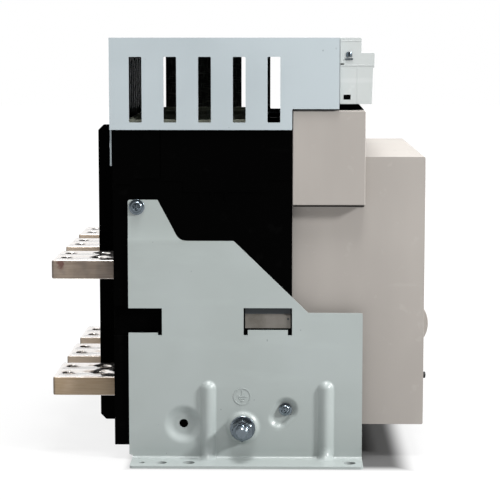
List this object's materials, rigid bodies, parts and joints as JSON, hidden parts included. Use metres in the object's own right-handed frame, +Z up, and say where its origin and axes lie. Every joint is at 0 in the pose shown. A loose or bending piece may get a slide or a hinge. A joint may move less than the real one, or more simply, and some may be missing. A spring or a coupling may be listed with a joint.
{
  "type": "air circuit breaker",
  "caption": "Fixed three-pole air circuit breaker on folded side plates, with rear terminal bars, vented exhaust cover and a beige operating front.",
  "frame": {"origin": "centre of the four foot holes, on the underside of the feet", "axes": "+X across the poles to the right seen from the front, +Y to the rear where the terminals point, -Y out of the operating front, +Z up"},
  "size_m": [0.422, 0.3733, 0.402],
  "materials": {
    "plate_paint": "light grey-green powder coat on folded steel sheet",
    "cover_paint": "pale blue-grey powder coat on folded steel sheet",
    "black_moulding": "near-black glass-filled thermoset moulding",
    "liner_board": "black insulating board",
    "chute_board": "dark arc-resistant board with steel splitter plates",
    "terminal_copper": "dulled tin-plated copper bar, tan at the sawn edges",
    "contact_copper": "bare copper",
    "bright_steel": "zinc-plated steel",
    "dark_steel": "dark phosphated steel",
    "carrier_moulding": "red-brown moulded insulator",
    "coil_plastic": "dark grey plastic and resin",
    "beige_plastic": "warm beige moulded plastic, fine texture",
    "ivory_plastic": "ivory terminal plastic",
    "trip_case": "dark grey moulded case",
    "clear_plastic": "clear polycarbonate",
    "green_plastic": "green moulded plastic",
    "red_plastic": "red moulded plastic",
    "flag_white": "white plastic",
    "flag_yellow": "yellow plastic",
    "spring_steel": "oiled spring steel",
    "screw_zinc": "blue-passivated zinc-plated steel",
    "bracket_steel": "galvanised steel",
    "black_screw": "black knurled screw"
  },
  "bodies": {
    "frame": {"left_side_plate": "plate_paint", "right_side_plate": "plate_paint", "exhaust_cover": "cover_paint", "exhaust_liner": "liner_board", "rear_housing": "black_moulding", "front_housing": "black_moulding", "phase_barriers": "black_moulding", "arc_chute_left": "chute_board", "arc_chute_centre": "chute_board", "arc_chute_right": "chute_board", "upper_terminal_left": "terminal_copper", "upper_terminal_centre": "terminal_copper", "upper_terminal_right": "terminal_copper", "lower_terminal_left": "terminal_copper", "lower_terminal_centre": "terminal_copper", "lower_terminal_right": "terminal_copper", "flexible_shunts": "contact_copper", "current_transformers": "coil_plastic", "contact_pivot_pins": "bright_steel", "shaft_bearings": "dark_steel", "mechanism_frame": "bright_steel", "closing_springs": "spring_steel", "closing_coil": "coil_plastic", "trip_coil": "coil_plastic", "charging_motor": "coil_plastic", "front_cover": "beige_plastic", "upper_front_cover": "beige_plastic", "terminal_support": "black_moulding", "secondary_terminals": "ivory_plastic", "trip_unit": "trip_case", "lifting_brackets": "bracket_steel", "earth_stud": "screw_zinc", "stud_hole_plug": "black_moulding", "plate_screws": "screw_zinc", "cover_screws": "screw_zinc"},
    "contact_arm_left": {"contact_carrier_left": "carrier_moulding", "contact_fingers_left": "contact_copper"},
    "contact_arm_centre": {"contact_carrier_centre": "carrier_moulding", "contact_fingers_centre": "contact_copper"},
    "contact_arm_right": {"contact_carrier_right": "carrier_moulding", "contact_fingers_right": "contact_copper"},
    "drive_shaft": {"main_shaft": "bright_steel"},
    "link_left": {"drive_link_left": "bright_steel"},
    "link_centre": {"drive_link_centre": "bright_steel"},
    "link_right": {"drive_link_right": "bright_steel"},
    "handle": {"charging_handle": "beige_plastic", "drive_pawl": "dark_steel"},
    "cam_drive": {"camshaft": "bright_steel", "ratchet_wheel": "dark_steel"},
    "follower": {"spring_follower": "dark_steel"},
    "closing_latch": {"closing_latch_shaft": "bright_steel"},
    "trip_latch": {"trip_latch_shaft": "bright_steel"},
    "close_plunger": {"closing_plunger": "bright_steel"},
    "open_plunger": {"trip_plunger": "bright_steel"},
    "on_push": {"on_button": "green_plastic"},
    "off_push": {"off_button": "red_plastic"},
    "reset_push": {"reset_button": "red_plastic"},
    "clear_flap": {"trip_unit_flap": "clear_plastic"},
    "lock_barrel": {"key_lock_barrel": "bright_steel"},
    "contact_flag": {"contact_indicator": "flag_white"},
    "spring_flag": {"spring_indicator": "flag_yellow"}
  },
  "joints": [
    {"name": "main_shaft_turn", "type": "hinge", "parent": "frame", "child": "drive_shaft", "pos_m": [0, -0.05, 0.095], "axis": [-1, 0, 0], "range_deg": [0, 25]},
    {"name": "contact_arm_left_turn", "type": "hinge", "parent": "frame", "child": "contact_arm_left", "pos_m": [-0.115, 0.06, 0.095], "axis": [-1, 0, 0], "range_deg": [-1, 26]},
    {"name": "link_left_turn", "type": "hinge", "parent": "drive_shaft", "child": "link_left", "pos_m": [-0.115, -0.07287, 0.12535], "axis": [-1, 0, 0], "range_deg": [-26, 1]},
    {"name": "contact_arm_centre_turn", "type": "hinge", "parent": "frame", "child": "contact_arm_centre", "pos_m": [0, 0.06, 0.095], "axis": [-1, 0, 0], "range_deg": [-1, 26]},
    {"name": "link_centre_turn", "type": "hinge", "parent": "drive_shaft", "child": "link_centre", "pos_m": [0, -0.07287, 0.12535], "axis": [-1, 0, 0], "range_deg": [-26, 1]},
    {"name": "contact_arm_right_turn", "type": "hinge", "parent": "frame", "child": "contact_arm_right", "pos_m": [0.115, 0.06, 0.095], "axis": [-1, 0, 0], "range_deg": [-1, 26]},
    {"name": "link_right_turn", "type": "hinge", "parent": "drive_shaft", "child": "link_right", "pos_m": [0.115, -0.07287, 0.12535], "axis": [-1, 0, 0], "range_deg": [-26, 1]},
    {"name": "contact_flag_slide", "type": "slide", "parent": "frame", "child": "contact_flag", "axis": [0, 0, 1], "range_m": [-0.0005, 0.0125]},
    {"name": "handle_turn", "type": "hinge", "parent": "frame", "child": "handle", "pos_m": [0, -0.108, 0.107], "axis": [1, 0, 0], "range_deg": [0, 75]},
    {"name": "camshaft_turn", "type": "hinge", "parent": "frame", "child": "cam_drive", "pos_m": [0, -0.108, 0.107], "axis": [1, 0, 0], "range_deg": [-1, 76]},
    {"name": "follower_lift", "type": "slide", "parent": "frame", "child": "follower", "axis": [0, 0, 1], "range_m": [-0.0005, 0.006], "deforming": ["closing_springs"]},
    {"name": "spring_flag_slide", "type": "slide", "parent": "frame", "child": "spring_flag", "axis": [0, 0, 1], "range_m": [-0.0005, 0.0125]},
    {"name": "on_press", "type": "slide", "parent": "frame", "child": "on_push", "axis": [0, 1, 0], "range_m": [0, 0.005], "stiffness_N_per_m": 400, "springref_m": -0.002},
    {"name": "closing_latch_turn", "type": "hinge", "parent": "frame", "child": "closing_latch", "pos_m": [0, -0.088, 0.212], "axis": [1, 0, 0], "range_deg": [-1, 15]},
    {"name": "off_press", "type": "slide", "parent": "frame", "child": "off_push", "axis": [0, 1, 0], "range_m": [0, 0.005], "stiffness_N_per_m": 400, "springref_m": -0.002},
    {"name": "trip_latch_turn", "type": "hinge", "parent": "frame", "child": "trip_latch", "pos_m": [0, -0.088, 0.172], "axis": [1, 0, 0], "range_deg": [-1, 15]},
    {"name": "closing_plunger_slide", "type": "slide", "parent": "frame", "child": "close_plunger", "axis": [0, -1, 0], "range_m": [0, 0.004], "stiffness_N_per_m": 200, "springref_m": -0.002},
    {"name": "trip_plunger_slide", "type": "slide", "parent": "frame", "child": "open_plunger", "axis": [0, -1, 0], "range_m": [0, 0.004], "stiffness_N_per_m": 200, "springref_m": -0.002},
    {"name": "reset_press", "type": "slide", "parent": "frame", "child": "reset_push", "axis": [0, 1, 0], "range_m": [0, 0.004], "stiffness_N_per_m": 200, "springref_m": -0.002},
    {"name": "flap_turn", "type": "hinge", "parent": "frame", "child": "clear_flap", "pos_m": [-0.1494, -0.1474, 0.182], "axis": [0, 0, -1], "range_deg": [0, 110]},
    {"name": "key_lock_turn", "type": "hinge", "parent": "frame", "child": "lock_barrel", "pos_m": [0.11, -0.14, 0.105], "axis": [0, 1, 0], "range_deg": [0, 90]}
  ],
  "couplings": [
    {"joint": "contact_arm_left_turn", "follows": "main_shaft_turn", "ratio": 1},
    {"joint": "link_left_turn", "follows": "main_shaft_turn", "ratio": -1},
    {"joint": "contact_arm_centre_turn", "follows": "main_shaft_turn", "ratio": 1},
    {"joint": "link_centre_turn", "follows": "main_shaft_turn", "ratio": -1},
    {"joint": "contact_arm_right_turn", "follows": "main_shaft_turn", "ratio": 1},
    {"joint": "link_right_turn", "follows": "main_shaft_turn", "ratio": -1},
    {"joint": "contact_flag_slide", "follows": "main_shaft_turn", "m_per_rad": 0.027502},
    {"joint": "camshaft_turn", "follows": "handle_turn", "ratio": 1},
    {"joint": "follower_lift", "follows": "handle_turn", "m_per_rad": 0.00372},
    {"joint": "spring_flag_slide", "follows": "handle_turn", "m_per_rad": 0.009167},
    {"joint": "closing_latch_turn", "follows": "on_press", "rad_per_m": 45.455},
    {"joint": "trip_latch_turn", "follows": "off_press", "rad_per_m": 45.455}
  ]
}
